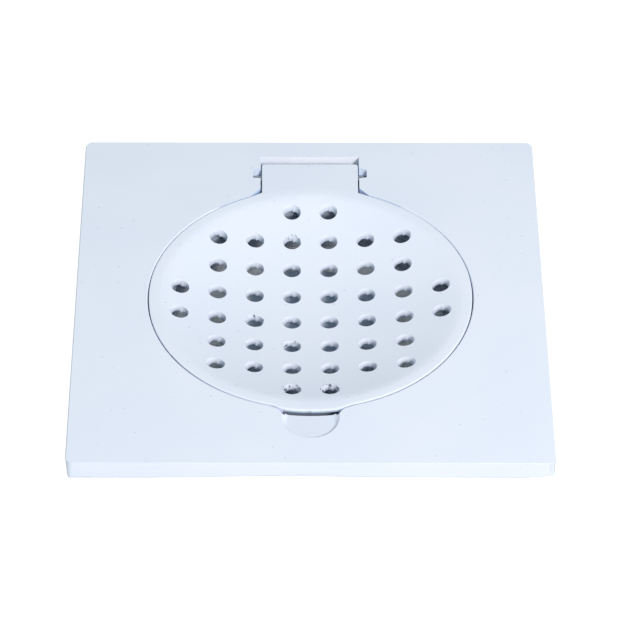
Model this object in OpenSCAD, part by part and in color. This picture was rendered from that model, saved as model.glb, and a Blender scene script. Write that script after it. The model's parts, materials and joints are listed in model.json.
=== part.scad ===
// Square floor trap: a cast frame with a hinged, dished grating, a moulded trap body and a loose bell.
// Origin at the centre of the outlet's lower end, +Z up, the hinge at the +Y side. Millimetres.
// Depths are measured down from the top of the plate.

/* [Frame] */
// Side of the square plate
plate_w = 150; // [148:1:156]
// Height of the plate's outer edge
plate_edge_h = 6.9; // [6:0.1:7.5]
// Thickness of the plate's top skin
plate_skin = 2.8; // [2.6:0.1:3]
// Thickness of the skirt round the plate's edge
skirt_t = 2.4; // [2:0.1:2.6]
// Radius of the plate's corners
corner_r = 3; // [2:0.5:4]
// Number of ribs round the seat, under the plate
rib_count = 16; // [12:4:20]

/* [Grating] */
// Outer diameter of the grating
grating_d = 103.4; // [103:0.1:103.8]
// Depth of the dish at its centre
dish_depth = 7; // [6.5:0.1:7.2]
// Thickness of the dished wall
dish_t = 2.4; // [2.2:0.1:3]
// Width of the flat rim round the dish
rim_w = 3.2; // [3:0.1:3.4]
// Thickness of the rim and of the hinge tongue
rim_t = 4.2; // [4:0.1:4.2]
// Diameter of each drain hole
hole_d = 5.9; // [5:0.1:6]
// Spacing of the drain holes
hole_pitch = 12; // [11.9:0.1:12.1]

/* [Hinge] */
// Distance of the hinge pin behind the centre of the grating
pin_y = 59.4; // [59.2:0.1:59.6]
// Diameter of the hinge pin
pin_d = 3.2; // [3:0.1:3.2]
// Width of the tongue
tongue_w = 31.8; // [31:0.2:32]
// How far the tongue's heel reaches behind the pin
heel = 4.2; // [4:0.1:4.4]

/* [Trap] */
// Height from the foot of the outlet to the top of the plate
trap_h = 53; // [53:1:70]
// Outer diameter of the outlet spigot
outlet_d = 50; // [48:0.5:50]
// Outer diameter of the bell's skirt
bell_d = 58; // [57:0.5:58]
// Number of vanes that centre the bell on the standpipe
vane_count = 3; // [3:1:4]

/* [Hidden] */
$fn = 96;
ball_fn = 240;
cut = 1;

// plate
edge_draft = 0.4;
top_round = 0.3;
foot_round = 0.9;
rib_t = 2;
rib_clear = 0.6;

// grating
grating_r = grating_d / 2;
rim_in_r = grating_r - rim_w;
rim_round = 0.9;
rim_draft = 0.35;
rim_lap = 1.5;
dish_r = (rim_in_r * rim_in_r + dish_depth * dish_depth) / (2 * dish_depth);
dish_lift = dish_r - dish_depth;
hole_r = hole_d / 2;
hole_reach = 45.5;

// hinge
pin_r = pin_d / 2;
pin_depth = pin_r + 1.8;
pin_stub = 2.7;
pin_fit = 0.02;
pin_chamfer = 0.3;
barrel_r = heel - 0.2;
tongue_round = 1;
heel_round = 0.4;

// seat in the frame
seat_gap = 0.5;
seat_r = grating_r + seat_gap;
rest_gap = 0.3;
ledge_depth = rim_t + rest_gap;
ledge_in_r = 47;
ledge_t = 2.8;
seat_wall = 2.4;
collar_in_r = 45.4;
collar_r = 48.6;
collar_foot = 20;
groove_r = 46.9;
groove_depth = 14.2;
groove_h = 2.8;

// hinge pocket in the frame
side_gap = 0.5;
pocket_half = tongue_w / 2 + side_gap;
pocket_back = pin_y + 7.9;
pocket_front = pin_y - barrel_r - 0.5;
pocket_depth = 9;
pocket_wall = 1.8;
relief_x = 3;
relief_y = 2;
socket_r = pin_r + 0.1;
socket_len = pin_stub - side_gap + 0.3;
lip_half = 1.15;
lip_depth = pin_depth - sqrt(socket_r * socket_r - lip_half * lip_half);
notch_half = 2.75;
notch_end_half = 1.9;
boss_half_y = 4.6;

// finger recess in the frame
recess_r = 9.0;
recess_y = -54.65;
recess_depth = 1.5;
recess_end_depth = 0.5;
recess_round = 4;
recess_tilt = asin((recess_round - recess_depth) / recess_round);
recess_corner = 2;
nail_gap = 0.75;
nail_lip = 1.3;

// trap body, seal ring and bell
sleeve_fit = 0.2;
sleeve_in_r = collar_r + sleeve_fit;
sleeve_r = sleeve_in_r + 2.2;
sleeve_top = 11.2;
shoulder = collar_foot + 0.3;
body_t = 2.2;
bowl_top_r = 38;
bowl_top = 26;
bowl_foot_r = 35.5;
bowl_depth = 37.2;
bowl_round = 4;
floor_t = 2.4;
pipe_bore_r = 17.8;
pipe_r = 20;
pipe_rim = 19;
outlet_r = outlet_d / 2;
outlet_bore_r = outlet_r - 2.6;
outlet_lead = 1.2;
rib_drop = 3.5;
body_rib_count = 8;
body_rib_t = 1.6;
ring_slack = 0.02;
bell_r = bell_d / 2;
bell_t = 1.8;
bell_draft = 0.6;
bell_crown = 12.3;
bell_edge = 13.2;
bell_foot = 32.6;
bell_round = 4;
vane_t = 2;
vane_skirt = 6;

// Points on an arc about c, from angle a to angle b
function arc(c, r, a, b, n = 6) =
    [for (i = [0:n]) c + r * [cos(a + (b - a) * i / n), sin(a + (b - a) * i / n)]];

// Height of the dish's upper face at a distance from its centre
function dish_z(r) = dish_lift - sqrt(dish_r * dish_r - r * r);

// Places its children with their zero at the top of the plate
module from_top() {
    translate([0, 0, trap_h]) children();
}

// A profile of Y and Z, extruded along X about the middle
module along_x(w) {
    rotate([90, 0, 90]) linear_extrude(w, center = true) children();
}

// A plan shape, extruded down to a depth
module sunk(from, to) {
    translate([0, 0, -to]) linear_extrude(to - from) children();
}

module rounded_square(w, r) {
    half = w / 2 - r;
    polygon(concat(
        arc([half, half], r, 0, 90), arc([-half, half], r, 90, 180),
        arc([-half, -half], r, 180, 270), arc([half, -half], r, 270, 360)
    ));
}

// Section of the plate: a crisp top edge, sides that lean in, and a rounded foot
module plate_section() {
    w = plate_w / 2;
    foot = w - edge_draft - foot_round;
    polygon(concat(
        [[-w + top_round, 0], [-w, -top_round]],
        arc([-foot, -plate_edge_h + foot_round], foot_round, 180, 270, 4),
        arc([foot, -plate_edge_h + foot_round], foot_round, 270, 360, 4),
        [[w, -top_round], [w - top_round, 0]]
    ));
}

module plate_blank() {
    intersection() {
        along_x(plate_w + cut) plate_section();
        rotate([0, 0, 90]) along_x(plate_w + cut) plate_section();
        sunk(-cut, plate_edge_h + cut) rounded_square(plate_w, corner_r);
    }
}

// Radial ribs from the seat to the skirt
module plate_ribs() {
    reach = plate_w / 2 - skirt_t / 2;
    intersection() {
        translate([-reach, -reach, -plate_edge_h + rib_clear])
            cube([2 * reach, 2 * reach, plate_edge_h - plate_skin / 2 - rib_clear]);
        for (i = [0:rib_count - 1]) rotate([0, 0, (i + 0.5) * 360 / rib_count])
            translate([seat_r + seat_wall / 2, -rib_t / 2, -plate_edge_h])
                cube([plate_w / 2, rib_t, plate_edge_h]);
    }
}

// Turned section of the seat, its ledge and the collar with the seal's groove
module seat_and_collar() {
    wall_r = seat_r + seat_wall;
    rotate_extrude() polygon([
        [seat_r, -plate_skin / 2], [seat_r, -ledge_depth], [ledge_in_r, -ledge_depth],
        [collar_in_r, -ledge_depth - 1.4], [collar_in_r, -collar_foot],
        [collar_r - 0.6, -collar_foot], [collar_r, -collar_foot + 0.8],
        [collar_r, -groove_depth - groove_h], [groove_r, -groove_depth - groove_h],
        [groove_r, -groove_depth], [collar_r, -groove_depth],
        [collar_r, -ledge_depth - ledge_t], [wall_r, -ledge_depth - ledge_t],
        [wall_r, -plate_skin / 2]
    ]);
}

// Outside of the hinge pocket, with a boss round each socket
module pocket_walls() {
    half = pocket_half + pocket_wall;
    boss_half = pocket_half + socket_len + pocket_wall;
    foot = pocket_depth + pocket_wall;
    translate([-half, seat_r - seat_wall, -foot])
        cube([2 * half, pocket_back + pocket_wall - seat_r + seat_wall, foot - plate_skin / 2]);
    translate([-boss_half, pin_y - boss_half_y, -foot + pocket_wall])
        cube([2 * boss_half, 2 * boss_half_y, foot - pocket_wall - plate_skin / 2]);
}

// Room for the tongue: shallow over the ledge, deep round the barrel
module pocket_room() {
    sunk(-cut, ledge_depth) polygon([
        [-pocket_half, 0], [pocket_half, 0], [pocket_half, pocket_back], [-pocket_half, pocket_back]
    ]);
    sunk(-cut, pocket_depth) polygon([
        [-pocket_half, pocket_front], [pocket_half, pocket_front],
        [pocket_half, pocket_back], [-pocket_half, pocket_back]
    ]);
    for (side = [-1, 1]) scale([side, 1, 1]) corner_relief();
}

// Bevel where the pocket's side meets the round seat
module corner_relief() {
    y = sqrt(seat_r * seat_r - pocket_half * pocket_half);
    sunk(-cut, ledge_depth) polygon([
        [pocket_half - cut, y + relief_y], [pocket_half, y + relief_y],
        [pocket_half + relief_x, y - relief_x * pocket_half / y],
        [pocket_half + relief_x, y - 3 * cut], [pocket_half - cut, y - 3 * cut]
    ]);
}

// A socket for one end of the pin, under a tapered notch with lips closed over the pin
module pin_socket(side) {
    reach = pocket_half + socket_len;
    translate([side * (pocket_half + reach) / 2, pin_y, -pin_depth])
        rotate([0, 90, 0]) cylinder(h = reach - pocket_half, r = socket_r, center = true);
    scale([side, 1, 1]) hull() {
        translate([pocket_half - 0.01, pin_y, 0]) notch_slice(notch_half);
        translate([reach, pin_y, 0]) notch_slice(notch_end_half);
    }
}

module notch_slice(half) {
    along_x(0.02) polygon([
        [-half, 0.01], [-half * 0.72, -lip_depth * 0.45], [-lip_half, -lip_depth - 0.02],
        [lip_half, -lip_depth - 0.02], [half * 0.72, -lip_depth * 0.45], [half, 0.01]
    ]);
}

// Half of the finger recess in section: a flat floor that rounds up into a sloping wall
module recess_section(mirrored) {
    s = mirrored ? -1 : 1;
    polygon([for (p = concat(
        [[0, cut], [recess_r, cut]],
        arc([recess_r - recess_round * cos(recess_tilt), recess_round - recess_depth],
            recess_round, -recess_tilt, -90),
        [[0, -recess_depth]]
    )) [s * p[0], p[1]]]);
}

// Finger recess: a round-ended trough whose floor climbs away from the grating
module finger_recess() {
    run = recess_y + grating_r;
    fall = atan((recess_depth - recess_end_depth) / (recess_r + abs(run)));
    intersection() {
        translate([0, recess_y, 0]) {
            rotate([0, 0, 180]) rotate_extrude(angle = 180) recess_section(false);
            rotate([90, 0, 180]) linear_extrude(recess_r) {
                recess_section(false);
                recess_section(true);
            }
        }
        translate([0, -grating_r, -recess_depth]) rotate([-fall, 0, 0])
            translate([-2 * recess_r, -4 * recess_r, 0]) cube([4 * recess_r, 8 * recess_r, 4 * recess_r]);
    }
}

// Rounded corners where the recess opens into the seat, and a gap for a fingernail
module recess_mouth() {
    f = recess_corner;
    reach = seat_r + f;
    fillet = [recess_r + f, -sqrt(reach * reach - (recess_r + f) * (recess_r + f))];
    for (side = [-1, 1]) scale([side, 1, 1]) sunk(-cut, recess_depth) polygon(concat(
        [[recess_r - cut, fillet[1]]],
        arc(fillet, f, 180, atan2(-fillet[1], -fillet[0])),
        [[recess_r + f, fillet[1] + 2 * f], [recess_r - cut, fillet[1] + 2 * f]]
    ));
    intersection() {
        sunk(-cut, ledge_depth) circle(seat_r + nail_gap);
        translate([-recess_r, -plate_w / 2, -ledge_depth]) cube([2 * recess_r, plate_w / 2, 2 * ledge_depth]);
    }
}

module frame() {
    color([0.86, 0.90, 0.95]) from_top() difference() {
        union() {
            difference() {
                plate_blank();
                sunk(plate_skin, plate_edge_h + cut)
                    rounded_square(plate_w - 2 * skirt_t, corner_r - 1);
            }
            plate_ribs();
            seat_and_collar();
            pocket_walls();
        }
        sunk(-cut, ledge_depth) circle(seat_r);
        sunk(ledge_depth - cut, collar_foot - cut) circle(collar_in_r);
        pocket_room();
        for (side = [-1, 1]) pin_socket(side);
        finger_recess();
        recess_mouth();
    }
}

// Rim of the grating: a rounded upper edge and a little draft
module rim() {
    rotate_extrude() polygon(concat(
        [[rim_in_r - rim_lap, -rim_t], [grating_r - rim_draft, -rim_t], [grating_r, -rim_round]],
        arc([grating_r - rim_round, -rim_round], rim_round, 15, 90, 5),
        [[rim_in_r, 0], [rim_in_r - rim_lap, dish_z(rim_in_r - rim_lap) - 0.4]]
    ));
}

// Dished wall between two spheres with one centre
module dish() {
    difference() {
        intersection() {
            translate([0, 0, dish_lift]) sphere(dish_r + dish_t, $fn = ball_fn);
            sunk(0, dish_depth + dish_t + cut) circle(rim_in_r);
        }
        translate([0, 0, dish_lift]) sphere(dish_r, $fn = ball_fn);
    }
}

// Tongue in section: a slab that ends in the round barrel and the heel
module tongue_section() {
    under = asin((rim_t - pin_depth) / barrel_r);
    polygon(concat(
        [[rim_in_r, 0], [rim_in_r, -rim_t]],
        arc([pin_y, -pin_depth], barrel_r, 180 + under, 360, 14),
        arc([pin_y + heel - heel_round, -heel_round], heel_round, 0, 90, 4)
    ));
}

module tongue() {
    half = tongue_w / 2;
    back = pin_y + heel;
    intersection() {
        along_x(tongue_w + cut) tongue_section();
        sunk(-cut, 4 * rim_t) polygon(concat(
            [[-half, 0], [half, 0]],
            arc([half - tongue_round, back - tongue_round], tongue_round, 0, 90),
            arc([-half + tongue_round, back - tongue_round], tongue_round, 90, 180)
        ));
    }
}

// A drain hole: a vertical bore through the dish
module drain_hole(x, y) {
    height = dish_depth + dish_t + 2 * cut;
    translate([x, y, cut - height]) cylinder(h = height, r = hole_r);
}

// Square grid of holes that lie inside the dish
module drain_holes() {
    steps = [for (i = [-3.5:1:3.5]) i * hole_pitch];
    for (x = steps, y = steps)
        if (norm([x, y]) + hole_r < hole_reach) drain_hole(x, y);
}

// Undercut in the rim beside the finger recess, so that a nail can catch the lip above it
module nail_notch() {
    half = recess_r - 0.5;
    translate([-half, -grating_r - cut, -rim_t - cut])
        cube([2 * half, grating_r + cut - rim_in_r - 0.4, rim_t + cut - nail_lip]);
}

module grating() {
    color([0.87, 0.91, 0.96]) from_top() difference() {
        union() {
            dish();
            rim();
            tongue();
        }
        drain_holes();
        nail_notch();
        translate([0, pin_y, -pin_depth]) rotate([0, 90, 0])
            cylinder(h = tongue_w + 2 * cut, r = pin_r + pin_fit, center = true);
    }
}

// Rod through the barrel, with a free stub at each end
module hinge_pin() {
    len = tongue_w / 2 + pin_stub;
    color([0.62, 0.64, 0.67]) from_top() translate([0, pin_y, -pin_depth]) rotate([0, 90, 0])
        rotate_extrude() polygon([
            [0, -len], [pin_r - pin_chamfer, -len], [pin_r, -len + pin_chamfer],
            [pin_r, len - pin_chamfer], [pin_r - pin_chamfer, len], [0, len]
        ]);
}

// Moulded body: a sleeve round the collar, a bowl, a standpipe and the outlet, in one turned section
module trap_section() {
    out_r = bowl_foot_r + body_t;
    floor_foot = bowl_depth + floor_t;
    polygon(concat(
        [[sleeve_in_r + 0.5, -sleeve_top], [sleeve_in_r, -sleeve_top - 0.8], [sleeve_in_r, -shoulder]],
        [[collar_in_r, -shoulder], [bowl_top_r, -bowl_top]],
        arc([bowl_foot_r - bowl_round, -bowl_depth + bowl_round], bowl_round, 0, -90),
        [[pipe_r + 0.5, -bowl_depth], [pipe_r, -pipe_rim - 0.4], [pipe_r - 0.4, -pipe_rim]],
        [[pipe_bore_r + 0.6, -pipe_rim], [pipe_bore_r, -pipe_rim - 0.6], [pipe_bore_r, -bowl_depth]],
        [[outlet_bore_r, -floor_foot - 1.6], [outlet_bore_r, -trap_h]],
        [[outlet_r - outlet_lead, -trap_h], [outlet_r, -trap_h + 2 * outlet_lead]],
        [[outlet_r, -floor_foot]],
        arc([out_r - bowl_round - body_t, -floor_foot + bowl_round + body_t], bowl_round + body_t, -90, 0),
        [[bowl_top_r + body_t, -bowl_top - 0.6], [sleeve_r - 1.2, -shoulder - body_t]],
        [[sleeve_r, -shoulder - body_t + 1.2], [sleeve_r, -sleeve_top]]
    ));
}

// Ribs outside the bowl, which carry the sleeve's shoulder
module body_ribs() {
    top = shoulder + body_t;
    for (i = [0:body_rib_count - 1]) rotate([0, 0, (i + 0.5) * 360 / body_rib_count])
        rotate([90, 0, 0]) linear_extrude(body_rib_t, center = true) polygon([
            [sleeve_r - 1.6, 1 - top], [sleeve_r - 1.6, -top - rib_drop],
            [bowl_foot_r + body_t / 2, -bowl_depth + bowl_round], [bowl_top_r + body_t / 2, -bowl_top]
        ]);
}

module trap_body() {
    color([0.84, 0.88, 0.92]) from_top() {
        rotate_extrude() trap_section();
        body_ribs();
    }
}

// Seal pressed between the collar's groove and the sleeve
module seal_ring() {
    in_r = groove_r + ring_slack;
    out_r = sleeve_in_r - ring_slack;
    half = groove_h / 2 - 0.3;
    soft = 0.5;
    color([0.12, 0.12, 0.13]) from_top() translate([0, 0, -groove_depth - groove_h / 2])
        rotate_extrude() polygon(concat(
            arc([out_r - soft, half - soft], soft, 0, 90, 4),
            arc([in_r + soft, half - soft], soft, 90, 180, 4),
            arc([in_r + soft, soft - half], soft, 180, 270, 4),
            arc([out_r - soft, soft - half], soft, 270, 360, 4)
        ));
}

// Shell of the bell: a slightly domed crown and a skirt with draft
module bell_section() {
    top_r = bell_r - bell_draft;
    in_round = bell_round - bell_t;
    polygon(concat(
        [[0, -bell_crown]],
        arc([top_r - bell_round, -bell_edge - bell_round], bell_round, 85, 0),
        [[bell_r, -bell_foot], [bell_r - bell_t, -bell_foot]],
        arc([top_r - bell_round, -bell_edge - bell_round], in_round, 0, 85),
        [[0, -bell_crown - bell_t]]
    ));
}

// Vanes inside the bell, notched to stand on the standpipe's rim
module vane() {
    rotate([90, 0, 0]) linear_extrude(vane_t, center = true) polygon([
        [pipe_bore_r - 2, -bell_edge - bell_t / 2],
        [bell_r - bell_draft - bell_t / 2, -bell_edge - bell_round],
        [bell_r - bell_draft - bell_t / 2, -pipe_rim - vane_skirt],
        [pipe_r + 0.8, -pipe_rim - vane_skirt],
        [pipe_r + 0.4, -pipe_rim], [pipe_bore_r - 1, -pipe_rim]
    ]);
}

module bell() {
    color([0.78, 0.84, 0.90]) from_top() {
        rotate_extrude() bell_section();
        for (i = [0:vane_count - 1]) rotate([0, 0, 90 + i * 360 / vane_count]) vane();
    }
}

frame();
grating();
hinge_pin();
trap_body();
seal_ring();
bell();
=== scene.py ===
# %% [markdown]
# # A square floor trap with a hinged, dished grating
#
# This lesson dresses a floor trap for a photograph-like render. The working parts come from a packed
# CAD frame. We model the two white castings again with soft, painted edges, and give every other
# piece a finish of its own. All lengths are in metres, and the trap stands on the ground at Z = 0.

# %% Load the frame
import json
import math

import bpy
import mathutils
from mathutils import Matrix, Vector


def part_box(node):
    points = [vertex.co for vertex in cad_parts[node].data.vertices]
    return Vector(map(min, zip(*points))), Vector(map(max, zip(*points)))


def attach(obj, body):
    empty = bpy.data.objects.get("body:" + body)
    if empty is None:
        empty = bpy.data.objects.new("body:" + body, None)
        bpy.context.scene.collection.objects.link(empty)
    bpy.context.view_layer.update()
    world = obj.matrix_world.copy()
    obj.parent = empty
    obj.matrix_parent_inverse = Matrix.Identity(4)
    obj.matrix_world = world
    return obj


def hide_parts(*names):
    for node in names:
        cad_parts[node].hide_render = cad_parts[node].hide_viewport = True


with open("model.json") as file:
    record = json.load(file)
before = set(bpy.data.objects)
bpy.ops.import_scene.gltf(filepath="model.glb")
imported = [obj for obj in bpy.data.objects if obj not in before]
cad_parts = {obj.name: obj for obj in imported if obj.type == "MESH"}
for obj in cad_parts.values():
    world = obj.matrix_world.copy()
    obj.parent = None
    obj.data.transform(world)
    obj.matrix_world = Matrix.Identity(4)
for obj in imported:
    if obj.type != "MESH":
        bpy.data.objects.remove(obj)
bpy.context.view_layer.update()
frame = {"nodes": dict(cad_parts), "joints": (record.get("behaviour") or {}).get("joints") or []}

MM = 0.001
FLOOR_BODY = "floor_frame"
LID_BODY = "lid"
nodes = frame["nodes"]
print("nodes:", sorted(nodes))

# %% [markdown]
# ## Sizes that everything follows
#
# The plate's box, the grating's box and the hinge's place are read from the frame, so the new
# castings can't drift away from it. Only the sizes that no box can tell, such as the spacing of the
# holes, are written here.

# %% Read the driving sizes
plate_high = Vector(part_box("frame")[1])
lid_high = Vector(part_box("grating")[1])
TOP = plate_high.z
PLATE_HALF = plate_high.x
LID_R = lid_high.x
HEEL_Y = lid_high.y
hinge = frame["joints"][0]
PIN = Vector(hinge["pos_m"])

RIM_W = 3.2 * MM
RIM_T = 4.2 * MM
DISH_DEPTH = 7.0 * MM
DISH_T = 2.4 * MM
DISH_EDGE = LID_R - RIM_W
DISH_RADIUS = (DISH_EDGE ** 2 + DISH_DEPTH ** 2) / (2 * DISH_DEPTH)
HOLE_R = 2.95 * MM
HOLE_PITCH = 12.0 * MM
HOLE_REACH = 45.5 * MM
TONGUE_HALF = 15.9 * MM
BARREL_R = 4.0 * MM
print(f"top of the plate at {TOP:.4f} m, lid radius {LID_R:.4f} m, dish radius {DISH_RADIUS:.4f} m")

# %% [markdown]
# ## The camera
#
# A catalogue picture like this is taken with a long lens from above the front edge, so the far edge
# of the square is only a little shorter than the near one. We place the camera by the angle it looks
# down at, its distance and a slight roll, and build its axes by hand. That keeps every number a
# thing that could be measured in a studio.

# %% Place the camera
IMAGE = 621
FOCAL_PIXELS = 3400.6
SENSOR = 36.0
CAMERA_UP = math.radians(43.66)
CAMERA_TURN = math.radians(-0.508)
CAMERA_ROLL = math.radians(0.42)
CAMERA_FAR = 1.0845
AIM = Vector((0.15 * MM, -7.1 * MM, TOP))


def camera_matrix():
    back = Vector((
        math.sin(CAMERA_TURN) * math.cos(CAMERA_UP),
        -math.cos(CAMERA_TURN) * math.cos(CAMERA_UP),
        math.sin(CAMERA_UP),
    ))
    right = (-back).cross(Vector((0, 0, 1))).normalized()
    up = right.cross(-back)
    c, s = math.cos(CAMERA_ROLL), math.sin(CAMERA_ROLL)
    x_axis = right * c + up * s
    y_axis = up * c - right * s
    turn = mathutils.Matrix((x_axis, y_axis, back)).transposed().to_4x4()
    return mathutils.Matrix.Translation(AIM + back * CAMERA_FAR) @ turn


camera_data = bpy.data.cameras.new("catalogue_camera")
camera_data.sensor_width = SENSOR
camera_data.sensor_fit = "HORIZONTAL"
camera_data.lens = FOCAL_PIXELS * SENSOR / IMAGE
camera_data.clip_start = 0.05
camera = bpy.data.objects.new("catalogue_camera", camera_data)
camera.matrix_world = camera_matrix()
bpy.context.scene.collection.objects.link(camera)
bpy.context.scene.camera = camera
print(f"lens {camera_data.lens:.1f} mm")

# %% [markdown]
# ## Small helpers for modelling
#
# Blender's operators work on whatever is selected. Imported parts stay selected, so each step starts
# by choosing one object. In edit mode we pick edges by their place instead of by hand, because a
# script can't click.

# %% Helpers that select, apply and join
def only(*objects):
    if bpy.context.object and bpy.context.object.mode != "OBJECT":
        bpy.ops.object.mode_set(mode="OBJECT")
    bpy.ops.object.select_all(action="DESELECT")
    for piece in objects:
        piece.select_set(True)
    bpy.context.view_layer.objects.active = objects[0]


def named(name):
    piece = bpy.context.object
    piece.name = name
    piece.data.name = name
    return piece


def settle(piece):
    """Puts the object's move, turn and scale into its mesh."""
    only(piece)
    bpy.ops.object.transform_apply(location=True, rotation=True, scale=True)
    return piece


def cut_with(piece, tool, operation):
    """Joins a solid to a piece, or cuts it away, and deletes the solid."""
    only(piece)
    step = piece.modifiers.new("step", "BOOLEAN")
    step.operation = operation
    step.solver = "EXACT"
    step.object = tool
    bpy.ops.object.modifier_apply(modifier=step.name)
    bpy.data.objects.remove(tool, do_unlink=True)
    return piece


def slice_at(piece, point, normal, keep_below=False):
    """Slices a piece along a plane, and can throw away what lies above it."""
    only(piece)
    bpy.ops.object.mode_set(mode="EDIT")
    bpy.ops.mesh.select_all(action="SELECT")
    bpy.ops.mesh.bisect(plane_co=point, plane_no=normal, clear_outer=keep_below, use_fill=keep_below)
    bpy.ops.object.mode_set(mode="OBJECT")


def pick_edges(piece, test):
    """Enters edit mode with the edges selected whose two ends and faces pass a test."""
    only(piece)
    bpy.ops.object.mode_set(mode="EDIT")
    bpy.ops.mesh.select_mode(type="EDGE")
    bpy.ops.mesh.select_all(action="DESELECT")
    bpy.ops.object.mode_set(mode="OBJECT")
    mesh = piece.data
    normals = {}
    for face in mesh.polygons:
        for key in face.edge_keys:
            normals.setdefault(key, []).append(face.normal.copy())
    count = 0
    for edge in mesh.edges:
        a, b = (mesh.vertices[i].co for i in edge.vertices)
        around = normals.get(tuple(sorted(edge.vertices)), [])
        edge.select = len(around) == 2 and test(a, b, around[0], around[1])
        count += edge.select
    bpy.ops.object.mode_set(mode="EDIT")
    return count


def pick_faces(piece, test):
    """Enters edit mode with the faces selected whose normal and centre pass a test."""
    only(piece)
    bpy.ops.object.mode_set(mode="EDIT")
    bpy.ops.mesh.select_mode(type="FACE")
    bpy.ops.mesh.select_all(action="DESELECT")
    bpy.ops.object.mode_set(mode="OBJECT")
    for face in piece.data.polygons:
        face.select = test(face.normal, face.center)
    bpy.ops.object.mode_set(mode="EDIT")


def is_sharp(n1, n2, degrees=30):
    return n1.dot(n2) < math.cos(math.radians(degrees))


def bevel_picked(width, segments, clamp=True):
    bpy.ops.mesh.bevel(offset=width, segments=segments, affect="EDGES", profile=0.5, clamp_overlap=clamp)
    bpy.ops.object.mode_set(mode="OBJECT")


def ramp(value, start, end):
    """Rises evenly from 0 at the start to 1 at the end, and stays there."""
    return min(max((value - start) / (end - start), 0.0), 1.0)


print("helpers are ready")

# %% [markdown]
# ## The grating: a flat blank first
#
# On the real part the lid is one casting: a thick rim, a thin dished wall and a tongue that carries
# the hinge. A dish full of holes is hard to model in place, so we make it flat and bend it at the
# end, much as a press would. The blank starts as a many-sided cylinder. Two insets of its ends give
# it the rings between which the thick rim will run down into the thin wall.

# %% Make the disc and the tongue
FILLET = 1.6 * MM
TONGUE_FROM = DISH_EDGE * 0.94
HEEL_CORNER = 1.0 * MM
BARREL_GAP = 0.2 * MM


def lid_blank():
    bpy.ops.mesh.primitive_cylinder_add(
        vertices=160, radius=LID_R, depth=RIM_T, location=(0, 0, TOP - RIM_T / 2)
    )
    disc = settle(named("grating_casting"))
    for width in (RIM_W, FILLET):
        pick_faces(disc, lambda normal, centre: abs(normal.z) > 0.5 and centre.xy.length < MM)
        bpy.ops.mesh.inset(thickness=width, use_individual=True)
        bpy.ops.object.mode_set(mode="OBJECT")
    bpy.ops.mesh.primitive_cube_add(
        size=1, location=(0, (TONGUE_FROM + HEEL_Y) / 2, TOP - RIM_T / 2)
    )
    tongue = named("tongue")
    tongue.scale = (2 * TONGUE_HALF, HEEL_Y - TONGUE_FROM, RIM_T)
    settle(tongue)
    corners = pick_edges(tongue, lambda a, b, n1, n2: (
        abs(a.z - b.z) > MM and a.y > PIN.y and b.y > PIN.y
    ))
    bevel_picked(HEEL_CORNER, 4)
    bpy.ops.mesh.primitive_cylinder_add(
        vertices=48, radius=BARREL_R, depth=2 * TONGUE_HALF - BARREL_GAP,
        location=PIN, rotation=(0, math.pi / 2, 0)
    )
    barrel = settle(named("barrel"))
    slice_at(barrel, (0, 0, TOP - 0.05 * MM), (0, 0, 1), keep_below=True)
    cut_with(tongue, barrel, "UNION")
    cut_with(disc, tongue, "UNION")
    print("heel corners rounded:", corners)
    return disc


grating = lid_blank()
print("blank faces:", len(grating.data.polygons))

# %% [markdown]
# ## The drain holes
#
# The real holes are cored in the mould on a square grid, and only those that fit inside the dish
# are there. We add one round cutter at each place, join them all and take them away in one Boolean.
# That is quicker than a Boolean for each hole, and it leaves clean rings to pick afterwards.

# %% Cut the holes
HOLE_ROWS = 8


def hole_places():
    steps = [(i - (HOLE_ROWS - 1) / 2) * HOLE_PITCH for i in range(HOLE_ROWS)]
    return [(x, y) for x in steps for y in steps if math.hypot(x, y) + HOLE_R < HOLE_REACH]


def punch(piece, places):
    cutters = []
    for x, y in places:
        bpy.ops.mesh.primitive_cylinder_add(
            vertices=64, radius=HOLE_R, depth=4 * RIM_T, location=(x, y, TOP - RIM_T / 2)
        )
        cutters.append(settle(named("cutter")))
    only(*cutters)
    bpy.ops.object.join()
    cut_with(piece, bpy.context.object, "DIFFERENCE")


HOLES = hole_places()
punch(grating, HOLES)
print(len(HOLES), "holes")

# %% [markdown]
# ## Soft edges, and a lip for the nail
#
# Paint leaves a thick, soft edge wherever metal turns sharply, so every sharp ring gets a bevel: a
# wide one at the holes' mouths and at the rim, a narrow one below and on the tongue. The edges are
# picked by where they lie. After the mouths, a small box is cut from the rim's front, from below.
# What stays is the thin lip that a nail lifts.

# %% Bevel the mouths, cut the nail's place and round the rim
def near_hole(point, slack):
    x = (math.floor(point.x / HOLE_PITCH) + 0.5) * HOLE_PITCH
    y = (math.floor(point.y / HOLE_PITCH) + 0.5) * HOLE_PITCH
    return math.hypot(point.x - x, point.y - y) < HOLE_R + slack and math.hypot(x, y) < HOLE_REACH


LOW = TOP - RIM_T
NAIL_LIP = 1.3 * MM
NAIL_HALF = 8.5 * MM
NAIL_BACK = DISH_EDGE + 0.4 * MM
FLAT = 0.01 * MM
TOUCH = 0.1 * MM
MOUTH_ROUND, UNDER_ROUND = 0.6 * MM, 0.3 * MM
RIM_ROUND, TONGUE_ROUND = 1.05 * MM, 0.3 * MM
mouths = pick_edges(grating, lambda a, b, n1, n2: (
    min(a.z, b.z) > TOP - FLAT and is_sharp(n1, n2) and near_hole(a, TOUCH) and near_hole(b, TOUCH)
))
bevel_picked(MOUTH_ROUND, 4)
bpy.ops.mesh.primitive_cube_add(size=1, location=(0, -LID_R, LOW))
nail_cutter = named("nail_cutter")
nail_cutter.scale = (2 * NAIL_HALF, 2 * (LID_R - NAIL_BACK), 2 * (RIM_T - NAIL_LIP))
cut_with(grating, settle(nail_cutter), "DIFFERENCE")
undersides = pick_edges(grating, lambda a, b, n1, n2: (
    max(a.z, b.z) < LOW + FLAT and is_sharp(n1, n2) and near_hole(a, TOUCH) and near_hole(b, TOUCH)
))
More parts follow.
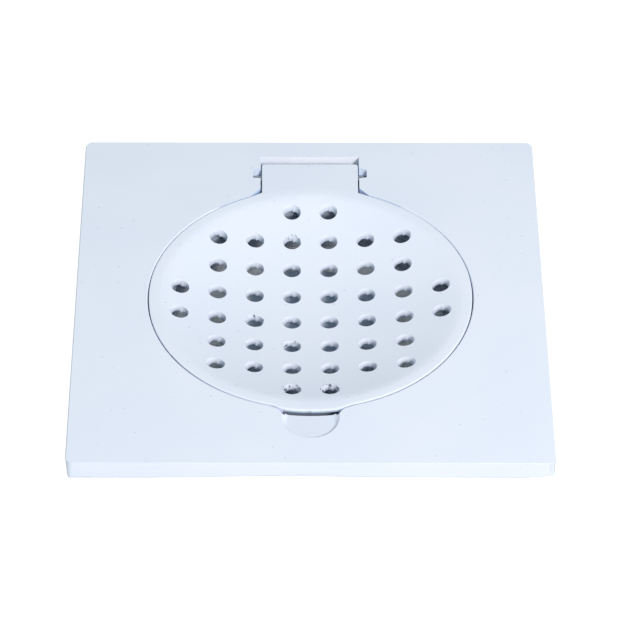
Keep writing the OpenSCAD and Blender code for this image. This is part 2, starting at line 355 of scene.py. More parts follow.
bevel_picked(UNDER_ROUND, 2)


def on_tongue(point):
    return point.y > DISH_EDGE and point.xy.length > LID_R + 0.2 * MM


rim_edges = pick_edges(grating, lambda a, b, n1, n2: (
    min(a.z, b.z) > TOP - FLAT and is_sharp(n1, n2) and not near_hole(a, 1.5 * MM)
    and not (on_tongue(a) or on_tongue(b))
))
bevel_picked(RIM_ROUND, 5)
tongue_edges = pick_edges(grating, lambda a, b, n1, n2: (
    min(a.z, b.z) > TOP - FLAT and is_sharp(n1, n2) and on_tongue((a + b) / 2)
))
bevel_picked(TONGUE_ROUND, 3)
print(f"bevelled {mouths} mouth, {undersides} lower, {rim_edges} rim and {tongue_edges} tongue edges")

# %% [markdown]
# ## Bend the blank into a dish
#
# Bending needs points to move, and the flat faces between the holes have none. So the blank is first
# sliced by straight bisect cuts, two millimetres apart, both ways, and twice along its height, which
# puts two more rings of points in every hole. After that each point is lowered by the depth of a
# sphere at its distance from the centre. The wall's underside follows at the wall's own thickness,
# and a soft minimum rounds the line where the dish meets the flat rim.

# %% Slice the blank
SLICE = 2.0 * MM
SLICE_REACH = 50.0 * MM
SLICE_OFF = 0.13 * MM
WALL_RINGS = (0.22, 0.5)


def slice_blank(piece):
    count = int(SLICE_REACH / SLICE)
    for axis in (Vector((1, 0, 0)), Vector((0, 1, 0))):
        for i in range(-count, count + 1):
            slice_at(piece, axis * (i * SLICE + SLICE_OFF), axis)
    for part in WALL_RINGS:
        slice_at(piece, (0, 0, LOW + part * RIM_T), (0, 0, 1))


slice_blank(grating)
print("faces after slicing:", len(grating.data.polygons))

# %% Lower the points onto the dish
SOFTNESS = 0.25 * MM


def soft_min(a, b, width):
    return -width * math.log(math.exp(-a / width) + math.exp(-b / width))


def dish_height(r):
    drop = DISH_RADIUS - DISH_DEPTH - math.sqrt(DISH_RADIUS ** 2 - r * r)
    return soft_min(drop, 0.0, SOFTNESS)


def underside_height(r):
    wall = dish_height(r) - DISH_T
    part = ramp(r, DISH_EDGE - FILLET, DISH_EDGE)
    return (1 - part) * wall - part * RIM_T


def bend(piece):
    for vertex in piece.data.vertices:
        x, y, z = vertex.co
        r = math.hypot(x, y)
        if r > LID_R + 0.5 * MM or z < LOW - 0.05 * MM:
            continue
        part = ramp(z, LOW, TOP)
        vertex.co.z = TOP + part * dish_height(r) + (1 - part) * underside_height(r)
    piece.data.update()


bend(grating)
print(f"lowest point of the dish {min(v.co.z for v in grating.data.vertices):.4f} m")

# %% [markdown]
# ## Flash inside the holes
#
# Where the two halves of a mould meet, a ragged skin of metal stays inside each hole. It is what
# makes the dark see-through part of a hole look lobed and not round. It is a tooth at the far side
# of every hole, and a skin at the near or the far side that grows towards the front and the back.
# Noise that depends on the hole and on the angle round it makes each one different.

# %% Push the lower rings inwards
TOOTH = 0.50 * MM
TOOTH_AT = 0.21
TOOTH_WIDTH = 0.13
SIDE_FLASH = 0.28 * MM
FRONT_FLASH = 0.42 * MM
FRONT_FROM, FRONT_TO = 12.0 * MM, -32.0 * MM
BACK_FLASH = 0.60 * MM
BACK_FROM, BACK_TO = 18.0 * MM, 42.0 * MM
RAGGED = 0.14 * MM
FLASH_HEIGHT = 0.45


def flash_depth(hx, hy, turn):
    """How far the skin reaches in, at a turn to the right of the hole's far side."""
    seed = Vector((hx * 400, hy * 400, 0.3))
    vary = 1 + 0.6 * mathutils.noise.noise(seed)
    shift = 0.10 * mathutils.noise.noise(seed + Vector((9, 0, 0)))
    tooth = TOOTH * vary * math.exp(-(((turn - TOOTH_AT - shift) / TOOTH_WIDTH) ** 2))
    side = SIDE_FLASH * ramp(abs(turn), 0.6, 1.5)
    front = FRONT_FLASH * ramp(hy, FRONT_FROM, FRONT_TO) * ramp(abs(turn + 0.1 - shift), 0.2, 0.7)
    back = BACK_FLASH * ramp(hy, BACK_FROM, BACK_TO) * (1 - ramp(abs(turn), 0.8, 1.6))
    rim = Vector((math.cos(turn), math.sin(turn), 0)) * 3.2
    return tooth + side + front + back + RAGGED * (0.5 + mathutils.noise.noise(seed + rim))


def flash(piece):
    moved = 0
    for vertex in piece.data.vertices:
        x, y, z = vertex.co
        hx = (math.floor(x / HOLE_PITCH) + 0.5) * HOLE_PITCH
        hy = (math.floor(y / HOLE_PITCH) + 0.5) * HOLE_PITCH
        away = math.hypot(x - hx, y - hy)
        if away > HOLE_R + 0.35 * MM or math.hypot(hx, hy) > HOLE_REACH or away < 0.1 * MM:
            continue
        r = math.hypot(x, y)
        top, low = TOP + dish_height(r), TOP + underside_height(r)
        part = (z - low) / (top - low)
        if part > FLASH_HEIGHT:
            continue
        ux, uy = (x - hx) / away, (y - hy) / away
        push = flash_depth(hx, hy, math.atan2(ux, uy)) * (1 - part / FLASH_HEIGHT)
        vertex.co.x -= ux * push
        vertex.co.y -= uy * push
        moved += 1
    piece.data.update()
    return moved


print("points moved by the flash:", flash(grating))

# %% [markdown]
# ## Paint in the gap, and a lid that hangs a little off
#
# A painted trap has its coat run into the gap round the lid, and less of it stays at the two sides
# where the lid rubs. And a lid with play in its hinge never rests quite in the middle. Both are small
# moves of points: the rim's side swells outwards, and then the whole lid shifts.

# %% Swell the rim and shift the lid
SWELL = 0.22 * MM
TONGUE_SWELL = 0.10 * MM
RUB = 0.4
RUB_FROM, RUB_TO = 0.978, 0.997
LID_SHIFT = Vector((0.0, 0.12 * MM, 0))


def swell_and_shift(piece):
    for vertex in piece.data.vertices:
        x, y, z = vertex.co
        r = math.hypot(x, y)
        if LID_R - 0.1 * MM < r < LID_R + 0.1 * MM and abs(x) > 0.1 * MM:
            out = 1 + SWELL / r * (1 - RUB * ramp(abs(x) / r, RUB_FROM, RUB_TO))
            vertex.co.x *= out
            vertex.co.y *= out
        elif y > LID_R and abs(x) > TONGUE_HALF - 0.4 * MM:
            vertex.co.x += math.copysign(TONGUE_SWELL, x)
        vertex.co += LID_SHIFT
    piece.data.update()


swell_and_shift(grating)
print(f"lid shifted by {LID_SHIFT.length / MM:.2f} mm")

# %% [markdown]
# ## Castings that came out of the mould a little out of true
#
# On the photograph the opening isn't a true circle. Inside the plate everything is a little shorter
# from front to back, stands nearer to the hinge and is slightly skew, as metal shrinks unevenly when
# it cools. Only the plate's outer edge, the tongue and the nail's lip keep their places. The same
# small moves are used for the lid and, later, for the frame, so that the gap between them stays.
# Weighted normals then make the flat parts look flat and the bevels round.

# %% Warp and smooth the lid
SHRINK = 0.983
BACKWARD = 0.25 * MM
SKEW = 0.008
SIDEWAYS = 0.2 * MM


def out_of_true(x, y):
    """How far a place lies from where a true casting would have it."""
    tongue = (1 - ramp(abs(x), 16.5 * MM, 20 * MM)) * ramp(y, 44 * MM, 50 * MM)
    lip = (1 - ramp(abs(x), 9 * MM, 12 * MM)) * ramp(-y, 46.5 * MM, 50 * MM)
    edge = ramp(max(abs(x), abs(y)), 66 * MM, 72 * MM)
    free = (1 - lip) * (1 - edge)
    return SIDEWAYS * free, ((SHRINK - 1) * y + BACKWARD + SKEW * x) * free * (1 - tongue)


def cast_again(piece, lowest):
    for vertex in piece.data.vertices:
        if vertex.co.z > lowest:
            dx, dy = out_of_true(vertex.co.x, vertex.co.y)
            vertex.co.x += dx
            vertex.co.y += dy
    piece.data.update()


cast_again(grating, 0.0)


def smooth(piece, degrees):
    only(piece)
    bpy.ops.object.shade_smooth_by_angle(angle=math.radians(degrees))
    even = piece.modifiers.new("even", "WEIGHTED_NORMAL")
    even.keep_sharp = True
    bpy.ops.object.modifier_apply(modifier=even.name)


smooth(grating, 40)
print("grating triangles:", sum(len(f.vertices) - 2 for f in grating.data.polygons))

# %% [markdown]
# ## The frame: the CAD casting with painted edges
#
# The frame's underside has ribs, a collar and a hinge pocket that are already right. Modelling them
# twice would only make them differ. So we copy the CAD mesh, merge its loose triangles, dissolve the
# flat ones into whole faces, warp it as the lid was, and bevel the sharp edges that a hand could
# reach from above. The opening's long edge gets a wider bevel of its own, since it catches the light
# as a white line on the side that faces the lamp. The front edge was ground by hand: its lower side
# is hollow, its top leans back, and one corner is knocked round.

# %% Copy, merge and warp the frame
def painted_frame():
    source = nodes["frame"]
    mesh = source.data.copy()
    piece = bpy.data.objects.new("frame_casting", mesh)
    mesh.name = "frame_casting"
    bpy.context.scene.collection.objects.link(piece)
    only(piece)
    bpy.ops.object.mode_set(mode="EDIT")
    bpy.ops.mesh.select_all(action="SELECT")
    bpy.ops.mesh.remove_doubles(threshold=0.002 * MM)
    bpy.ops.mesh.customdata_custom_splitnormals_clear()
    bpy.ops.mesh.dissolve_limited(angle_limit=math.radians(0.5))
    bpy.ops.object.mode_set(mode="OBJECT")
    return piece


WARPED_DOWN_TO = TOP - 12 * MM
HOLLOW, STEP = 0.9 * MM, 0.45 * MM
LEFT_END, MIDDLE, KNEE, RIGHT_END = -50 * MM, -8 * MM, 13 * MM, 66 * MM
CORNER_LIFT = 1.4 * MM
LEAN = 0.4 * MM


def grind_front(piece):
    """Hollows the front edge's lower side, lifts its right corner and leans its top back."""
    for x in (LEFT_END, MIDDLE, KNEE, RIGHT_END):
        slice_at(piece, (x, 0, 0), (1, 0, 0))
    for vertex in piece.data.vertices:
        x, y, z = vertex.co
        if y < 4 * MM - PLATE_HALF and z < TOP - 4 * MM:
            hollow = min(HOLLOW * ramp(x, LEFT_END, MIDDLE), HOLLOW - STEP * ramp(x, MIDDLE, KNEE))
            hollow -= (HOLLOW - STEP) * ramp(x, KNEE, RIGHT_END)
            vertex.co.z += hollow + CORNER_LIFT * ramp(x - y, 2 * PLATE_HALF - 5 * MM, 2 * PLATE_HALF)
        elif y < 3 * MM - PLATE_HALF:
            vertex.co.y += LEAN
    piece.data.update()


frame_piece = painted_frame()
cast_again(frame_piece, WARPED_DOWN_TO)
grind_front(frame_piece)
print("frame points:", len(frame_piece.data.vertices))

# %% Bevel and smooth the frame
EDGE_BAND = 0.02 * MM
POCKET_FROM = PIN.y - 16 * MM
MOUTH_EDGE, POCKET_EDGE = 0.45 * MM, 0.35 * MM
mouth_edges = pick_edges(frame_piece, lambda a, b, n1, n2: (
    min(a.z, b.z) > TOP - EDGE_BAND and is_sharp(n1, n2)
    and max(math.hypot(*a.xy), math.hypot(*b.xy)) < LID_R + 2 * MM and max(a.y, b.y) < POCKET_FROM
))
bevel_picked(MOUTH_EDGE, 3, clamp=False)
pocket_edges = pick_edges(frame_piece, lambda a, b, n1, n2: (
    min(a.z, b.z) > TOP - EDGE_BAND and is_sharp(n1, n2)
    and min(a.y, b.y) > POCKET_FROM and max(abs(a.x), abs(a.y)) < PLATE_HALF - MM
))
bevel_picked(POCKET_EDGE, 3)
smooth(frame_piece, 35)
print(f"softened {mouth_edges} edges of the opening and {pocket_edges} of the pocket")

# %% [markdown]
# ## The pieces ride on their bodies
#
# A piece that rides on a body moves with it when the hinge opens. The two new castings stand in for
# their CAD nodes, which stay in the frame for their sizes.

# %% Ride and replace
for piece, body, node, slot in (
    (grating, LID_BODY, "grating", "grating_coating"),
    (frame_piece, FLOOR_BODY, "frame", "frame_coating"),
):
    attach(piece, body)
    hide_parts(node)
    print(piece.name, "rides on", body)

# %% [markdown]
# ## A painted casting's skin
#
# The white coat is a semi-gloss enamel, a little blue. It isn't perfect: it swells gently over the
# rough casting, varies a little in tone, and carries tiny pits. One node group makes all three, and
# every coated surface uses it with its own numbers. The group only puts out a colour, a roughness
# and a height.

# %% Build the enamel group
def socket(group, name, kind, way="INPUT", value=None):
    made = group.interface.new_socket(name=name, in_out=way, socket_type=kind)
    if value is not None:
        made.default_value = value
    return made


def enamel_group():
    group = bpy.data.node_groups.new("enamel_skin", "ShaderNodeTree")
    socket(group, "Colour", "NodeSocketColor", value=(0.8, 0.8, 0.8, 1))
    socket(group, "Shade", "NodeSocketColor", value=(0.7, 0.7, 0.7, 1))
    socket(group, "Pit Colour", "NodeSocketColor", value=(0.2, 0.25, 0.35, 1))
    socket(group, "Pits", "NodeSocketFloat", value=0.5)
    socket(group, "Swell", "NodeSocketFloat", value=0.5)
    socket(group, "Base Roughness", "NodeSocketFloat", value=0.35)
    socket(group, "Colour", "NodeSocketColor", "OUTPUT")
    socket(group, "Roughness", "NodeSocketFloat", "OUTPUT")
    socket(group, "Height", "NodeSocketFloat", "OUTPUT")
    add, join = group.nodes.new, group.links.new
    given, out = add("NodeGroupInput"), add("NodeGroupOutput")
    place = add("ShaderNodeTexCoord")

    cloud = add("ShaderNodeTexNoise")
    cloud.inputs["Scale"].default_value = 28
    cloud.inputs["Detail"].default_value = 3
    join(place.outputs["Object"], cloud.inputs["Vector"])
    cloud_mask = add("ShaderNodeMapRange")
    cloud_mask.inputs["From Min"].default_value = 0.35
    cloud_mask.inputs["From Max"].default_value = 0.7
    join(cloud.outputs["Fac"], cloud_mask.inputs["Value"])
    tint = add("ShaderNodeMix")
    tint.data_type = "RGBA"
    join(cloud_mask.outputs["Result"], tint.inputs["Factor"])
    join(given.outputs["Colour"], tint.inputs["A"])
    join(given.outputs["Shade"], tint.inputs["B"])

    cells = add("ShaderNodeTexVoronoi")
    cells.voronoi_dimensions = "2D"
    cells.inputs["Scale"].default_value = 260
    join(place.outputs["Object"], cells.inputs["Vector"])
    size = add("ShaderNodeMapRange")
    size.inputs["From Min"].default_value = 0.87
    size.inputs["From Max"].default_value = 1.0
    size.inputs["To Min"].default_value = 0.0
    size.inputs["To Max"].default_value = 0.085
    chance = add("ShaderNodeSeparateColor")
    join(cells.outputs["Color"], chance.inputs["Color"])
    join(chance.outputs["Red"], size.inputs["Value"])
    inside = add("ShaderNodeMath")
    inside.operation = "LESS_THAN"
    join(cells.outputs["Distance"], inside.inputs[0])
    join(size.outputs["Result"], inside.inputs[1])
    pits = add("ShaderNodeMath")
    pits.operation = "MULTIPLY"
    join(inside.outputs["Value"], pits.inputs[0])
    join(given.outputs["Pits"], pits.inputs[1])
    pitted = add("ShaderNodeMix")
    pitted.data_type = "RGBA"
    join(pits.outputs["Value"], pitted.inputs["Factor"])
    join(tint.outputs["Result"], pitted.inputs["A"])
    join(given.outputs["Pit Colour"], pitted.inputs["B"])
    join(pitted.outputs["Result"], out.inputs["Colour"])

    swell = add("ShaderNodeTexNoise")
    swell.inputs["Scale"].default_value = 150
    swell.inputs["Detail"].default_value = 2
    join(place.outputs["Object"], swell.inputs["Vector"])
    lift = add("ShaderNodeMath")
    lift.operation = "MULTIPLY"
    join(swell.outputs["Fac"], lift.inputs[0])
    join(given.outputs["Swell"], lift.inputs[1])
    sunk = add("ShaderNodeMath")
    sunk.operation = "SUBTRACT"
    shallow = add("ShaderNodeMath")
    shallow.operation = "MULTIPLY"
    shallow.inputs[1].default_value = 0.3
    join(pits.outputs["Value"], shallow.inputs[0])
    join(lift.outputs["Value"], sunk.inputs[0])
    join(shallow.outputs["Value"], sunk.inputs[1])
    join(sunk.outputs["Value"], out.inputs["Height"])

    rough = add("ShaderNodeMapRange")
    rough.inputs["To Min"].default_value = -0.05
    rough.inputs["To Max"].default_value = 0.08
    join(cloud.outputs["Fac"], rough.inputs["Value"])
    total = add("ShaderNodeMath")
    total.operation = "ADD"
    join(rough.outputs["Result"], total.inputs[0])
    join(given.outputs["Base Roughness"], total.inputs[1])
    join(total.outputs["Value"], out.inputs["Roughness"])
    return group


ENAMEL = enamel_group()
print("enamel group:", len(ENAMEL.nodes), "nodes")

# %% Make the two enamel materials
def new_material(name):
    material = bpy.data.materials.new(name)
    material.use_nodes = True
    shader = material.node_tree.nodes["Principled BSDF"]
    return material, material.node_tree, shader


def enamel(name, colour, shade, pits, swell, roughness):
    material, tree, shader = new_material(name)
    skin = tree.nodes.new("ShaderNodeGroup")
    skin.node_tree = ENAMEL
    skin.inputs["Colour"].default_value = (*colour, 1)
    skin.inputs["Shade"].default_value = (*shade, 1)
    skin.inputs["Pit Colour"].default_value = (0.40, 0.47, 0.62, 1)
    skin.inputs["Pits"].default_value = pits
    skin.inputs["Swell"].default_value = swell
    skin.inputs["Base Roughness"].default_value = roughness
    bump = tree.nodes.new("ShaderNodeBump")
    bump.inputs["Distance"].default_value = 0.15 * MM
    bump.inputs["Strength"].default_value = 0.5
    tree.links.new(skin.outputs["Colour"], shader.inputs["Base Color"])
    tree.links.new(skin.outputs["Roughness"], shader.inputs["Roughness"])
    tree.links.new(skin.outputs["Height"], bump.inputs["Height"])
    tree.links.new(bump.outputs["Normal"], shader.inputs["Normal"])
    shader.inputs["Specular IOR Level"].default_value = 0.2
    return material


def finish_with(piece, material):
    piece.data.materials.clear()
    piece.data.materials.append(material)
    for face in piece.data.polygons:
        face.material_index = 0


frame_enamel = enamel("frame_enamel", (0.76, 0.825, 0.93), (0.73, 0.805, 0.92), 0.45, 0.25, 0.52)
grating_enamel = enamel("grating_enamel", (0.76, 0.825, 0.93), (0.73, 0.805, 0.92), 0.45, 0.5, 0.50)
finish_with(frame_piece, frame_enamel)
finish_with(grating, grating_enamel)
print("coated:", frame_piece.name, "and", grating.name)

# %% [markdown]
# ## Painted shade low in the holes, and where the coat has chipped
#
# Low on each hole's wall the coat gets a painted shade, a grey blue that darkens it where shade
# falls inside the hole, and the rim's side under the finger recess gets the same painted shade.
# The depth below the dish is the distance from the centre of its sphere, less its radius, so one
# vector length gives the mask for every hole. Near the front edge, where fingers and water work
# most, noise breaks small chips out of the holes' lips, and a random value for each hole picks a
# few others. The nearest hole's centre comes from rounding X and Y to the holes' pitch, so no hole
# has to be listed. The warp and the shift of the lid are first taken out of X and Y.

# %% Build the painted shade and the chips as masks
def maths(tree, operation, *values):
    node = tree.nodes.new("ShaderNodeMath")
    node.operation = operation
    for slot, value in zip(node.inputs, values):
        if isinstance(value, (int, float)):
            slot.default_value = value
        else:
            tree.links.new(value, slot)
    return node.outputs["Value"]


def spread(tree, value, low, high):
    node = tree.nodes.new("ShaderNodeMapRange")
    node.inputs["From Min"].default_value = low
    node.inputs["From Max"].default_value = high
    tree.links.new(value, node.inputs["Value"])
    return node.outputs["Result"]


def blend_in(tree, mask, under, colour):
    mix = tree.nodes.new("ShaderNodeMix")
    mix.data_type = "RGBA"
    mix.inputs["B"].default_value = (*colour, 1)
    tree.links.new(mask, mix.inputs["Factor"])
    tree.links.new(under, mix.inputs["A"])
    return mix.outputs["Result"]


def length_of(tree, x, y):
    squares = [maths(tree, "MULTIPLY", part, part) for part in (x, y)]
    return maths(tree, "SQRT", maths(tree, "ADD", *squares))


def hole_centre(tree, value):
    cell = maths(tree, "FLOOR", maths(tree, "DIVIDE", value, HOLE_PITCH))
    return maths(tree, "MULTIPLY", maths(tree, "ADD", cell, 0.5), HOLE_PITCH)


# The first colour below is painted shade, put low on the holes' walls and on the rim's side under the
# nail's lip.
HOLE_SHADE_PAINT = (0.36, 0.43, 0.54)
CHIPPED = (0.13, 0.16, 0.22)
CHIPPED_PART = 0.08
WORN_LIMIT = 0.60
FRONT_ROWS = -3 * HOLE_PITCH


def chips_and_painted_shade(material):
    tree = material.node_tree
    shader = tree.nodes["Principled BSDF"]
    coat = shader.inputs["Base Color"].links[0].from_socket
    place = tree.nodes.new("ShaderNodeTexCoord")
    split = tree.nodes.new("ShaderNodeSeparateXYZ")
    tree.links.new(place.outputs["Object"], split.inputs["Vector"])
    x = maths(tree, "SUBTRACT", split.outputs["X"], LID_SHIFT.x + SIDEWAYS)
    y = maths(tree, "SUBTRACT", split.outputs["Y"], LID_SHIFT.y + BACKWARD)
    y = maths(tree, "DIVIDE", maths(tree, "SUBTRACT", y, maths(tree, "MULTIPLY", x, SKEW)), SHRINK)
    z = split.outputs["Z"]
    out = length_of(tree, x, y)
    up = maths(tree, "SUBTRACT", TOP - DISH_DEPTH + DISH_RADIUS, z)
    depth = maths(tree, "SUBTRACT", length_of(tree, out, up), DISH_RADIUS)
    in_dish = maths(tree, "LESS_THAN", out, LID_R - 0.7 * MM)
    facing = tree.nodes.new("ShaderNodeSeparateXYZ")
    tree.links.new(place.outputs["Normal"], facing.inputs["Vector"])
    upright = maths(tree, "GREATER_THAN", facing.outputs["Z"], -0.6)
    # The painted shade's mask: 1 to 2.3 mm below the dish's face on the holes' walls, and on the rim's
    # side under the nail's lip.
    low_wall_shade_mask = maths(tree, "MULTIPLY", spread(tree, depth, 1.0 * MM, 2.3 * MM), in_dish)
    low_wall_shade_mask = maths(tree, "MULTIPLY", low_wall_shade_mask, upright)
    below = spread(tree, maths(tree, "SUBTRACT", TOP, z), 0.45 * MM, 0.9 * MM)
    by_nail = maths(tree, "LESS_THAN", y, -DISH_EDGE)
    beside = maths(tree, "LESS_THAN", maths(tree, "ABSOLUTE", x), NAIL_HALF + 0.3 * MM)
    lip = maths(tree, "MULTIPLY", maths(tree, "MULTIPLY", below, by_nail), beside)
    thin = maths(tree, "MAXIMUM", low_wall_shade_mask, lip)

    hole_x = hole_centre(tree, x)
    hole_y = hole_centre(tree, y)
    hole_out = length_of(tree, hole_x, hole_y)
    is_hole = maths(tree, "LESS_THAN", hole_out, HOLE_REACH - HOLE_R)
    from_hole = length_of(tree, maths(tree, "SUBTRACT", x, hole_x), maths(tree, "SUBTRACT", y, hole_y))
    at_lip = maths(tree, "SUBTRACT", 1.0, spread(tree, from_hole, HOLE_R, HOLE_R + 0.35 * MM))
    grit = tree.nodes.new("ShaderNodeTexNoise")
    grit.inputs["Scale"].default_value = 700
    grit.inputs["Detail"].default_value = 3
    tree.links.new(place.outputs["Object"], grit.inputs["Vector"])
    front = maths(tree, "LESS_THAN", hole_y, FRONT_ROWS)
    lucky = tree.nodes.new("ShaderNodeTexWhiteNoise")
    lucky.noise_dimensions = "2D"
    spot = tree.nodes.new("ShaderNodeCombineXYZ")
    tree.links.new(hole_x, spot.inputs["X"])
    tree.links.new(hole_y, spot.inputs["Y"])
    tree.links.new(spot.outputs["Vector"], lucky.inputs["Vector"])
    picked = maths(tree, "GREATER_THAN", lucky.outputs["Value"], 1 - CHIPPED_PART)
    worn = maths(tree, "MULTIPLY", maths(tree, "MAXIMUM", front, picked), is_hole)
    limit = maths(tree, "SUBTRACT", WORN_LIMIT, maths(tree, "MULTIPLY", front, 0.04))
    broken = spread(tree, maths(tree, "SUBTRACT", grit.outputs["Fac"], limit), 0.0, 0.05)
    chips = maths(tree, "MULTIPLY", maths(tree, "MULTIPLY", broken, at_lip), worn)
    # The painted shade goes on first, and the chips, which are real wear, go over it.
    coat_with_shade = blend_in(tree, thin, coat, HOLE_SHADE_PAINT)
    tree.links.new(blend_in(tree, chips, coat_with_shade, CHIPPED), shader.inputs["Base Color"])


chips_and_painted_shade(grating_enamel)
print("wear nodes:", len(grating_enamel.node_tree.nodes))

# %% [markdown]
# ## Plastic, rubber and steel
#
# Everything under the plate is seen only through the holes, or when the trap is turned over. Moulded
# plastic has a fine spark-eroded grain, rubber is the same but darker, and the pin is drawn steel.
# The trap body is unpigmented plastic. Light wanders a few millimetres inside it, which Blender calls
# subsurface scattering, so the holes show a soft grey and not black.

# %% Finish the hidden pieces
MILKY_REACH = 8.0 * MM


def grained(name, colour, roughness, grain, metallic=0.0, milky=0.0):
    material, tree, shader = new_material(name)
    place = tree.nodes.new("ShaderNodeTexCoord")
    noise = tree.nodes.new("ShaderNodeTexNoise")
    noise.inputs["Scale"].default_value = grain
    noise.inputs["Detail"].default_value = 4
    tree.links.new(place.outputs["Object"], noise.inputs["Vector"])
    tone = tree.nodes.new("ShaderNodeMix")
    tone.data_type = "RGBA"
    tone.inputs["A"].default_value = (*[0.85 * c for c in colour], 1)
    tone.inputs["B"].default_value = (*[1.12 * c for c in colour], 1)
    tree.links.new(noise.outputs["Fac"], tone.inputs["Factor"])
    tree.links.new(tone.outputs["Result"], shader.inputs["Base Color"])
    bump = tree.nodes.new("ShaderNodeBump")
    bump.inputs["Distance"].default_value = 0.05 * MM
    bump.inputs["Strength"].default_value = 0.4
    tree.links.new(noise.outputs["Fac"], bump.inputs["Height"])
    tree.links.new(bump.outputs["Normal"], shader.inputs["Normal"])
    shader.inputs["Roughness"].default_value = roughness
    shader.inputs["Metallic"].default_value = metallic
    shader.inputs["Subsurface Weight"].default_value = milky
    shader.inputs["Subsurface Radius"].default_value = (1.0, 1.0, 1.05)
    shader.inputs["Subsurface Scale"].default_value = MILKY_REACH
    return material


for node, material in (
    ("trap_body", grained("body_plastic", (0.79, 0.88, 0.975), 0.5, 900, milky=1.0)),
    ("bell", grained("bell_plastic", (0.76, 0.87, 0.985), 0.5, 900)),
    ("seal_ring", grained("seal_rubber", (0.03, 0.03, 0.033), 0.7, 700)),
    ("hinge_pin", grained("pin_steel", (0.45, 0.47, 0.50), 0.35, 1200, 1.0)),
):
    finish_with(nodes[node], material)

print("plastic, rubber and steel are set")

# %% [markdown]
# ## Places on the frame with their own finish, painted shade and painted light
#
# The coat is sprayed from above, so the ledge and the collar stay bare, and the bare metal gets a
# painted shade that darkens it up towards the ledge. The notches over the hinge sockets get a painted
# shade, the gap beside the lid a bluish painted shade, the front and left outer edges and the right
# front corner a painted shade that dims their highlight, and the pocket's back wall a painted light.
# Each of these is a test on a face's place and direction, so one helper gives them their materials.

# %% Give faces their own materials
INNER_R = 53.0 * MM
LEDGE_Z = TOP - 4.4 * MM
POCKET_HALF = TONGUE_HALF + MM
POCKET_FLOOR = TOP - 9 * MM
GAP_FLOOR = TOP - 7 * MM
OPENING_R = LID_R + 2 * MM
# The two heights and the colour below give the bare metal a painted shade, darker up towards the ledge.
LEDGE_SHADE_FROM, LEDGE_SHADE_TO = TOP - 8.5 * MM, TOP - 6.5 * MM
LEDGE_SHADE_PAINT = (0.24, 0.29, 0.37)


def coat_where(piece, material, test):
    """Gives a material of their own to the faces that pass a test, and says how many there are."""
    piece.data.materials.append(material)
    slot = len(piece.data.materials) - 1
    chosen = [face for face in piece.data.polygons if test(face, face.normal, face.center)]
    for face in chosen:
        face.material_index = slot
    print(material.name, "on", len(chosen), "faces")


def bare_casting():
    """Bare metal with a painted shade that darkens it up towards the ledge."""
    material = grained("bare_casting", (0.72, 0.78, 0.86), 0.6, 600)
    tree = material.node_tree
    shader = tree.nodes["Principled BSDF"]
    clean = shader.inputs["Base Color"].links[0].from_socket
    place = tree.nodes.new("ShaderNodeTexCoord")
    height = tree.nodes.new("ShaderNodeSeparateXYZ")
    tree.links.new(place.outputs["Object"], height.inputs["Vector"])
    ledge_shade = spread(tree, height.outputs["Z"], LEDGE_SHADE_FROM, LEDGE_SHADE_TO)
    tree.links.new(blend_in(tree, ledge_shade, clean, LEDGE_SHADE_PAINT), shader.inputs["Base Color"])
    return material


def is_bare(face, normal, centre):
    return centre.z < LEDGE_Z and centre.xy.length < INNER_R


def in_notch(face, normal, centre):
    beside = abs(centre.x) > TONGUE_HALF + 0.55 * MM and abs(centre.y - PIN.y) < 2.9 * MM
    return beside and abs(centre.z - TOP + 2 * MM) < 1.9 * MM


def in_gap(face, normal, centre):
    upright = abs(normal.z) < 0.1 and centre.z > GAP_FLOOR and face.material_index == 0
    by_tongue = abs(centre.x) < POCKET_HALF and 0 < centre.y < HEEL_Y
    return upright and (centre.xy.length < OPENING_R or by_tongue)


def on_edge(face, normal, centre):
    sloping = 0.1 < normal.z < 0.97 and centre.z > TOP - 4 * MM
    outer = max(-centre.x, -centre.y) > PLATE_HALF - 3 * MM
    corner = centre.x - centre.y > 2 * PLATE_HALF - 6 * MM
    return (sloping and outer) or (corner and normal.x > 0.2 and normal.y < -0.2)


def on_pocket_back(face, normal, centre):
    inside = abs(centre.x) < POCKET_HALF and centre.y > HEEL_Y and centre.z > POCKET_FLOOR
    return inside and normal.y < -0.5


coat_where(frame_piece, bare_casting(), is_bare)
for name, colour, shade, pits, swell, roughness, test in (
    # Painted shade in the notches over the hinge sockets, darker where shade falls in them.
    ("notch_painted_shade", (0.56, 0.64, 0.78), (0.50, 0.58, 0.72), 0.6, 0.5, 0.5, in_notch),
    # Painted shade: a bluish, darker tone on the upright walls of the gap beside the lid and the tongue.
    ("gap_painted_shade", (0.54, 0.67, 0.90), (0.50, 0.63, 0.87), 0.2, 0.3, 0.5, in_gap),
    # Painted shade: the front and left outer edges and the right front corner are darkened to dim their
    # highlight.
    ("edge_painted_shade", (0.66, 0.72, 0.83), (0.63, 0.69, 0.80), 0.4, 0.25, 0.55, on_edge),
    # Painted light: the pocket's back wall is made whiter than the rest of the coat.
    ("pocket_painted_light", (0.87, 0.915, 0.975), (0.84, 0.895, 0.965), 0.4, 0.3, 0.5, on_pocket_back),
):
    coat_where(frame_piece, enamel(name, colour, shade, pits, swell, roughness), test)

# %% [markdown]
# ## Floor, background and light
#
# The catalogue picture has a pure white ground. The camera sees the floor and the world as white, by
# Is Camera Ray, and the floor is as white in reflections, while the object is lit by an ordinary
# soft world and two area lamps. The key lamp stands in front and a little to the right, and gives
# the dish its shade. The weak one is a card at the left, for the plate's left side. The floor keeps
# a pale shadow where the trap stands.

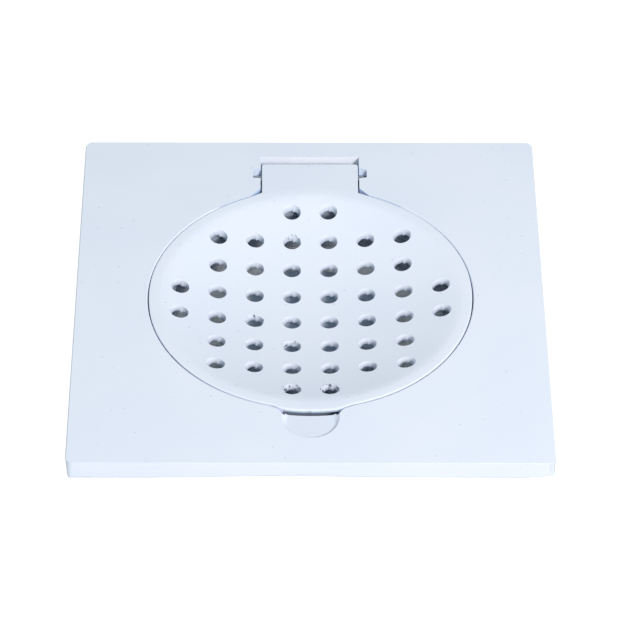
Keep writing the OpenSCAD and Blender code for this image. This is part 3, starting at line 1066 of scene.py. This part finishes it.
# %% Make the stage and the lamps
def white_floor():
    bpy.ops.mesh.primitive_plane_add(size=6, location=(0, 0, 0))
    floor = named("floor")
    material, tree, shader = new_material("floor_paper")
    shader.inputs["Base Color"].default_value = (0.46, 0.47, 0.48, 1)
    shader.inputs["Roughness"].default_value = 0.9
    path = tree.nodes.new("ShaderNodeLightPath")
    either = tree.nodes.new("ShaderNodeMath")
    either.operation = "MAXIMUM"
    tree.links.new(path.outputs["Is Camera Ray"], either.inputs[0])
    tree.links.new(path.outputs["Is Glossy Ray"], either.inputs[1])
    glow = tree.nodes.new("ShaderNodeEmission")
    glow.inputs["Strength"].default_value = 0.85
    both = tree.nodes.new("ShaderNodeAddShader")
    tree.links.new(shader.outputs["BSDF"], both.inputs[0])
    tree.links.new(glow.outputs["Emission"], both.inputs[1])
    mix = tree.nodes.new("ShaderNodeMixShader")
    tree.links.new(either.outputs["Value"], mix.inputs["Fac"])
    tree.links.new(shader.outputs["BSDF"], mix.inputs[1])
    tree.links.new(both.outputs["Shader"], mix.inputs[2])
    tree.links.new(mix.outputs["Shader"], tree.nodes["Material Output"].inputs["Surface"])
    floor.data.materials.append(material)
    return floor


def soft_world(strength):
    world = bpy.data.worlds.new("studio")
    bpy.context.scene.world = world
    world.use_nodes = True
    tree = world.node_tree
    ground = tree.nodes["Background"]
    ground.inputs["Color"].default_value = (*SKY, 1)
    ground.inputs["Strength"].default_value = strength
    white = tree.nodes.new("ShaderNodeBackground")
    white.inputs["Color"].default_value = (1, 1, 1, 1)
    white.inputs["Strength"].default_value = 1.0
    path = tree.nodes.new("ShaderNodeLightPath")
    mix = tree.nodes.new("ShaderNodeMixShader")
    tree.links.new(path.outputs["Is Camera Ray"], mix.inputs["Fac"])
    tree.links.new(ground.outputs["Background"], mix.inputs[1])
    tree.links.new(white.outputs["Background"], mix.inputs[2])
    tree.links.new(mix.outputs["Shader"], tree.nodes["World Output"].inputs["Surface"])


def area_lamp(name, place, aim, power):
    data = bpy.data.lights.new(name, "AREA")
    data.shape = "RECTANGLE"
    data.size = data.size_y = LAMP_SIZE
    data.energy = power
    data.color = LAMPLIGHT
    lamp = bpy.data.objects.new(name, data)
    lamp.location = place
    lamp.rotation_euler = (Vector(aim) - Vector(place)).to_track_quat("-Z", "Y").to_euler()
    bpy.context.scene.collection.objects.link(lamp)
    return lamp


LAMP_SIZE = 0.35
KEY_WAY = Vector((0.43, -0.67, 0.59))
KEY_FAR = 1.5
KEY_POWER = 19.9
LAMPLIGHT = (1.0, 0.935, 0.90)
FILL_PLACE = (-1.4, -0.25, 0.16)
FILL_POWER = 4.5
WORLD = 0.51
SKY = (0.884, 0.96, 1.0)

white_floor()
soft_world(WORLD)
plate_middle = Vector((0, 0, TOP))
area_lamp("key", KEY_WAY * KEY_FAR + plate_middle, plate_middle, KEY_POWER)
area_lamp("left_card", FILL_PLACE, plate_middle, FILL_POWER)
bpy.context.scene.view_settings.view_transform = "Standard"
print("stage and lamps are set")
